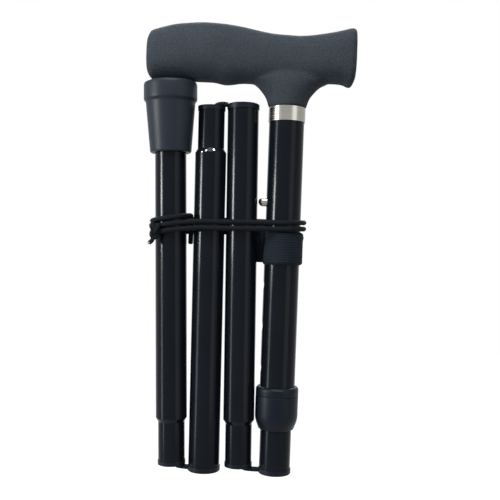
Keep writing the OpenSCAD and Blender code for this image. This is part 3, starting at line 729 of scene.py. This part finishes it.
# Angle round the shaft in degrees and height of the cord where it comes out from behind the band
STRAP_STARTS = [(27, -0.4), (48, 0.1), (70, 0.6), (91, 1.1)]
STRAP_START_R = 13.42
# Steps in a turn, the first one of the winding, and the share of a turn from which its rise counts
TURN_STEPS, FIRST_STEP, RISE_FROM = 48, 3, 1 / 24
# Shares of a turn where the back run, the arc round the bottom section and the front run end
BACK_END, ARC_END, FRONT_END = 1 / 6, 1 / 2, 2 / 3
# The last turn hangs down in the gap beside the third section: over from the bottom axis, back, and down
STRAP_TAIL = [
    (4.7, -11.3, 0), (8.2, -9.6, 0), (10.4, -6, 0), (11.7, -1, 0), (11.7, 2, 0.8), (11.7, 4.2, 3),
    (11.8, 5, 6), (11.8, 5, 10), (11.8, 4.8, 13.5), (11.8, 4.6, 17),
]
# Share of a turn's rise from each point of the tail to the next
TAIL_RISE = 0.0125
STRAP_STEPS = 4


def strap_piece(name, form, finish="strap"):
    """A piece of the strap cord, riding on the handle shaft."""
    obj = new_piece(name, form, finish, "handle_shaft", ["strap_cord"])
    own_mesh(obj)
    return obj


def round_point(middle, radius, angle):
    return Vector((middle + radius * math.cos(angle), radius * math.sin(angle)))


def winding_place(share, mid_x):
    """Place in plan at a share of a turn: back run, bottom section, front run, shaft."""
    shaft_r, bottom_r = UPPER_R + STRAP_GAP + STRAP_R, TUBE_R + STRAP_GAP + STRAP_R
    tangent = math.acos((bottom_r - shaft_r) / -mid_x)

    def part(start, stop):
        return (share - start) / (stop - start)

    def run(angle, way):
        ends = [round_point(0, shaft_r, angle), round_point(mid_x, bottom_r, angle)]
        return ends[0].lerp(ends[1], way)

    if share < BACK_END:
        return run(tangent, part(0, BACK_END))
    if share < ARC_END:
        return round_point(mid_x, bottom_r, tangent + 2 * (math.pi - tangent) * part(BACK_END, ARC_END))
    if share < FRONT_END:
        return run(-tangent, 1 - part(ARC_END, FRONT_END))
    return round_point(0, shaft_r, tangent * (2 * part(FRONT_END, 1) - 1))


def winding_height(place, turns):
    """Height of the winding at a place in plan; past the third section it falls towards the bottom one."""
    fall = STRAP_FALL * max(0.0, STRAP_BEND_X - place.x)
    return STRAP_Z + STRAP_LIFT + STRAP_PITCH * turns + STRAP_SLOPE * place.x - fall


def strap_path():
    """Centreline of the strap cord: from behind the band, round the bundle and down in the last gap."""
    mid_x = axis_x(BOTTOM_END, BOTTOM_LEAN, STRAP_Z)
    points = []
    for angle, rise in STRAP_STARTS:
        place = round_point(0, STRAP_START_R, math.radians(angle))
        points.append((*place, STRAP_Z + rise))
    for i in range(FIRST_STEP, int(STRAP_TURNS * TURN_STEPS) + 1):
        place = winding_place(i % TURN_STEPS / TURN_STEPS, mid_x)
        points.append((*place, winding_height(place, i / TURN_STEPS - RISE_FROM)))
    for i, (over, back, down) in enumerate(STRAP_TAIL):
        place = Vector((mid_x + over, back))
        points.append((*place, winding_height(place, STRAP_TURNS + TAIL_RISE * i) - down))
    return [in_row(*point) for point in spline(points, STRAP_STEPS)]


# Knot on the winding at the bottom section: angle round it, distance from its axis, height, and half sizes
KNOT_ANGLE, KNOT_R, KNOT_Z = 229, 13.3, 145.2
KNOT_TALL, KNOT_WIDE, KNOT_DEEP = 1.5, 1.15, 1.1
KNOT_CORD_R, KNOT_STEPS = 1.3, 90
# Its cut end, as across, out and up from the knot's middle, and the pale core that shows there, as (r, h)
CUT_END = [(0.4, 0.2, -3.4), (0.5, 0.6, -5), (0.7, 1.6, -6.6), (0.9, 3, -7.6)]
CUT_STEPS = 5
CUT_CORE = [(0, 0), (0.936, 0), (0.858, 0.75), (0.52, 1.0), (0, 1.05)]
CUT_CORE_SEGMENTS = 24


def make_knot():
    """An overhand knot where the cord's ends are tied, with one short cut end below it."""
    angle = math.radians(KNOT_ANGLE)
    out = Vector((math.cos(angle), math.sin(angle), 0))
    across = Vector((math.sin(angle), -math.cos(angle), 0))
    rise = Vector((0, 0, 1))
    middle = Vector((axis_x(BOTTOM_END, BOTTOM_LEAN, KNOT_Z), 0, KNOT_Z)) + out * KNOT_R

    def at(wide, deep, tall):
        return in_row(*(middle + across * wide + out * deep + rise * tall))

    path = []
    for step in range(KNOT_STEPS + 1):
        turn = 2 * math.pi * step / KNOT_STEPS
        wide = KNOT_WIDE * (math.sin(turn) + 2 * math.sin(2 * turn))
        deep = -KNOT_DEEP * math.sin(3 * turn)
        tall = KNOT_TALL * (math.cos(turn) - 2 * math.cos(2 * turn))
        path.append(at(wide, deep, tall))
    stub = [at(*point) for point in spline(CUT_END, CUT_STEPS)]
    core = lathe(CUT_CORE, stub[-1], stub[-1] - stub[-2], CUT_CORE_SEGMENTS)
    return [
        strap_piece("strap_knot", sweep(path, KNOT_CORD_R * MM)),
        strap_piece("strap_cut_end", sweep(stub, KNOT_CORD_R * MM)),
        strap_piece("strap_cut_core", core, "core"),
    ]


def make_strap_cord():
    path = strap_path()
    obj = strap_piece("strap_braid_cord", sweep(path, STRAP_R * MM))
    make_knot()


# Strap band: a ribbed ring of webbing, a flap sewn over its front, and a fin in the gap beside the shaft

RIB_PITCH, RIB_DEPTH = 1.5, 0.16
# Share of the ring's thickness at a woven edge, and how far in from an edge webbing is at its full thickness
EDGE_T_SHARE, EDGE_REACH = 0.55, 0.8
RING_ROWS, RING_COLUMNS = 80, 120
FLAP_ROWS, FLAP_COLUMNS = 76, 90
# The flap's inset from the ring's edges, its depth in the ring, its edges' thickness and the gain inside
FLAP_INSET, FLAP_SUNK, FLAP_EDGE_T, FLAP_GAIN_T = 0.4, 0.25, 0.1, 0.85
# The flap's left edge and how far its top corner is cut away, and its right edge, in degrees round the shaft
FLAP_LEFT, FLAP_CUT, FLAP_RIGHT = 203, 47, 385
# The cut grows with a power of the height and is complete at this share of it
FLAP_CUT_TOP_SHARE, FLAP_CUT_POWER = 0.87, 5
# The strap cord leaves through a tunnel at the flap's right edge, which fades up, down and round the shaft
TUNNEL_DROP, TUNNEL_REACH, TUNNEL_RISE = 0.6, 2.1, 2.1
TUNNEL_DEGREES, TUNNEL_POWER = 30, 1.5
# The fin's middle line in plan, from the ring to its outer edge, bent back behind the second section
FIN_LINE = [(-10.9, 0.6), (-12.4, 1.6), (-14, 3.4), (-15.1, 5.1), (-15.7, 6.4)]
# Its thickness, and how far its foot and its top are above the ring's
FIN_T, FIN_LIFT, FIN_RISE = 1.8, 1, 6
FIN_ROWS, FIN_STEPS = 66, 4
# Share of its thickness at the outer edge, the growth at each step inward, and its share of the ribs' depth
FIN_EDGE_SHARE, FIN_EDGE_GROWTH, FIN_RIB_SHARE = 0.35, 0.3, 0.8


def steps_between(start, stop, count):
    """Equal steps from start to stop, with both of them."""
    return [start + (stop - start) * i / count for i in range(count + 1)]


def rib(z):
    """Depth of the groove beside the webbing's ribs at a height."""
    return RIB_DEPTH * (0.5 - 0.5 * math.cos(2 * math.pi * z / RIB_PITCH))


def edge_ease(row, rows):
    """Zero at a woven edge and one away from it."""
    inside = min(row - rows[0], rows[-1] - row)
    return min(1.0, max(0.0, inside / EDGE_REACH)) ** 0.5


def wrapped(angles_at, rows, inner_r, outer_at, closed):
    """Webbing wrapped round the shaft, with an outer and an inner face of rows at the given heights."""
    verts, faces, uvs = [], [], []
    flat_angles = angles_at(rows[0])
    count = len(flat_angles)
    for radius_at in (outer_at, lambda angle, row: inner_r):
        for row in rows:
            for angle in angles_at(row):
                radius = radius_at(angle, row)
                verts.append(in_row(radius * math.cos(angle), radius * math.sin(angle), row))
    inner = len(rows) * count

    def spot(column, row):
        return (flat_angles[column % count] * BAND_R * MM, rows[row] * MM)

    def strip(low, high, low_row, high_row):
        faces.extend(faces_between(low, high, count, closed))
        for c in range(count if closed else count - 1):
            uvs.extend([spot(c, low_row), spot(c + 1, low_row), spot(c + 1, high_row), spot(c, high_row)])

    for first in (0, inner):
        for r in range(len(rows) - 1):
            strip(first + r * count, first + (r + 1) * count, r, r + 1)
    for r in (0, len(rows) - 1):
        strip(r * count, inner + r * count, r, r)
    if not closed:
        for c in (0, count - 1):
            for r in range(len(rows) - 1):
                low, high = r * count + c, (r + 1) * count + c
                faces.append((low, high, inner + high, inner + low))
                uvs.extend([spot(c, r), spot(c, r + 1), spot(c, r + 1), spot(c, r)])
    return verts, faces, uvs


def ring_form():
    """The ring of webbing round the shaft."""
    rows = steps_between(BAND_Z, BAND_Z + BAND_H, RING_ROWS)
    angles = steps_between(0, 2 * math.pi, RING_COLUMNS)[:-1]

    def outer_at(angle, row):
        return BAND_R + BAND_T * (EDGE_T_SHARE + (1 - EDGE_T_SHARE) * edge_ease(row, rows)) - rib(row)

    return wrapped(lambda row: angles, rows, BAND_R, outer_at, closed=True)


def flap_form():
    """The flap sewn over the ring, with a cut corner and a tunnel for the strap cord."""
    rows = steps_between(BAND_Z + FLAP_INSET, BAND_Z + BAND_H - FLAP_INSET, FLAP_ROWS)
    over_r = BAND_R + BAND_T

    def angles_at(row):
        share = (row - BAND_Z) / BAND_H
        left = FLAP_LEFT + FLAP_CUT * min(1.0, share / FLAP_CUT_TOP_SHARE) ** FLAP_CUT_POWER
        return [math.radians(angle) for angle in steps_between(left, FLAP_RIGHT, FLAP_COLUMNS)]

    def outer_at(angle, row):
        near = max(0.0, 1 - abs(math.degrees(angle) - FLAP_RIGHT) / TUNNEL_DEGREES)
        tunnel = math.exp(-((row - STRAP_Z + TUNNEL_DROP) / TUNNEL_REACH) ** 2)
        thick = FLAP_EDGE_T + FLAP_GAIN_T * edge_ease(row, rows) - rib(row)
        return over_r + thick + TUNNEL_RISE * tunnel * near ** TUNNEL_POWER

    return wrapped(angles_at, rows, over_r - FLAP_SUNK, outer_at, closed=False)


def fin_form():
    """Two layers of webbing sewn together beside the shaft, bent back, with a rounded outer edge."""
    rows = steps_between(BAND_Z + FIN_LIFT, BAND_Z + BAND_H + FIN_RISE, FIN_ROWS)
    line = [Vector(point) for point in spline(FIN_LINE, FIN_STEPS)]
    near, far = [], []
    for i, (point, heading) in enumerate(zip(line, headings_of(line))):
        from_edge = len(line) - 1 - i
        share = min(1.0, FIN_EDGE_SHARE + FIN_EDGE_GROWTH * from_edge)
        outward = Vector((-heading.y, heading.x))
        half = FIN_T / 2 * share * outward
        near.append((point + half, outward))
        far.append((point - half, -outward))
    outline = near + far[::-1]
    count = len(outline)
    verts = []
    for row in rows:
        for point, outward in outline:
            verts.append(in_row(*(point - outward * rib(row) * FIN_RIB_SHARE), row))
    faces, uvs = [], []
    for r, (low, high) in enumerate(zip(rows, rows[1:])):
        faces += faces_between(r * count, (r + 1) * count, count)
        for c in range(count):
            left, right = c * MM, (c + 1) * MM
            uvs += [(left, low * MM), (right, low * MM), (right, high * MM), (left, high * MM)]
    last = len(verts) - count
    faces += [tuple(range(count)), tuple(range(last, last + count))]
    uvs += [(0.0, 0.0)] * (2 * count)
    return verts, faces, uvs


def make_band():
    form = joined([ring_form(), flap_form(), fin_form()])
    new_piece("strap_webbing", form, "webbing", "handle_shaft", ["strap_band"], sharp=50)


make_grip()
make_tip()
make_lock()
make_fold_cords()
make_strap_cord()
make_band()


# Stage, light and camera

# The floor lies where the tip stands when the cane is unfolded, seated and at full height: no pose cuts it
FLOOR_Z = -697.4 * MM
FLOOR_SIDE = 12.0
FLOOR_DARK, FLOOR_LIGHT = (0.58, 0.58, 0.58), (0.62, 0.62, 0.62)
# Distances from the floor's middle, and its glow there
FLOOR_NEAR, FLOOR_FAR = 0.15, 1.3
GLOW_NEAR, GLOW_FAR = 0.6, 0.97
# Strength of the white surround as a light and where it is seen
WHITE = (1, 1, 1)
WORLD_LIGHT, WORLD_SEEN = 0.1, 1.0
# Softboxes: name, place, width and height in metres, and power in watts
LAMPS = [
    ("key_left", (-0.95, -0.39, 0.3), (0.2, 1.2), 9),
    ("key_core", (-0.93, -0.38, 0.2), (0.18, 0.18), 8),
    ("fill_right", (0.73, -0.68, 0.25), (0.5, 0.9), 2.4),
    ("top_front", (0.0, -0.65, 1.1), (0.9, 0.6), 25),
    ("fill_back", (0.0, 0.85, 0.9), (1.2, 0.6), 20),
]
LAMP_TARGET = Vector((0.0, 0.0, 0.14))
# The camera stands where the photograph's perspective puts it, rolled sideways by this sine
CAMERA_PLACE = in_row(-19.6, -465, 135.3)
CAMERA_ROLL = 0.0361
FOCAL_PX, FRAME_PX, SENSOR_MM = 761, 500, 36


def seen_ray(tree):
    """One on the rays by which the surround itself is seen, straight, mirrored or through glass."""
    rays = add_node(tree, "ShaderNodeLightPath", {})
    mirrored = maths(tree, "MAXIMUM", rays["Is Glossy Ray"], rays["Is Transmission Ray"])
    return maths(tree, "MAXIMUM", rays["Is Camera Ray"], mirrored)


def paper_material():
    """Pale paper that glows more and more away from the middle, as far as it is seen."""
    mat, tree, shader = new_material("pale_paper")
    place = coords(tree)
    tone = noise(tree, place, scale=3, detail=2)
    away = add_node(tree, "ShaderNodeVectorMath", {0: place}, operation="LENGTH")["Value"]
    glow = ramp(tree, away, spread=(FLOOR_NEAR, FLOOR_FAR), result=(GLOW_NEAR, GLOW_FAR))
    put(tree, shader, {
        "Base Color": mix_color(tree, tone, FLOOR_DARK, FLOOR_LIGHT),
        "Roughness": 0.9, "Specular IOR Level": 0.1,
        "Emission Color": WHITE, "Emission Strength": maths(tree, "MULTIPLY", seen_ray(tree), glow),
    })
    return mat


def make_floor():
    """Plain pale floor that goes over into the white surround, with the object's shadow in the middle."""
    half = FLOOR_SIDE / 2
    corners = [(-half, -half, 0), (half, -half, 0), (half, half, 0), (-half, half, 0)]
    mesh = bpy.data.meshes.new("floor")
    mesh.from_pydata(corners, [], [(0, 1, 2, 3)])
    mesh.materials.append(paper_material())
    obj = new_object("floor", mesh)
    obj.location.z = FLOOR_Z


def make_world():
    """White surround wherever it is seen, and a dim light from it on the object."""
    world = bpy.data.worlds.new("studio")
    world.use_nodes = True
    tree = world.node_tree
    strength = ramp(tree, seen_ray(tree), spread=(0.0, 1.0), result=(WORLD_LIGHT, WORLD_SEEN))
    put(tree, tree.nodes["Background"], {"Color": WHITE, "Strength": strength})
    scene.world = world


def make_lamp(name, place, size, power):
    """A rectangular softbox that faces the object's middle."""
    data = bpy.data.lights.new(name, "AREA")
    data.shape = "RECTANGLE"
    data.size, data.size_y = size
    data.energy = power
    obj = new_object(name, data)
    obj.location = place
    obj.rotation_euler = (LAMP_TARGET - Vector(place)).to_track_quat("-Z", "Y").to_euler()


def make_camera():
    """A camera that looks straight at the front, rolled a little."""
    data = bpy.data.cameras.new("camera")
    data.sensor_width = SENSOR_MM
    data.lens = FOCAL_PX / FRAME_PX * SENSOR_MM
    upright = math.sqrt(1 - CAMERA_ROLL ** 2)
    right, up, back = (upright, 0, CAMERA_ROLL), (-CAMERA_ROLL, 0, upright), (0, -1, 0)
    turn = Matrix((right, up, back)).transposed().to_4x4()
    camera = new_object("camera", data)
    camera.matrix_world = Matrix.Translation(CAMERA_PLACE) @ turn
    scene.camera = camera


make_floor()
make_world()
for lamp in LAMPS:
    make_lamp(*lamp)
make_camera()

bpy.context.view_layer.update()
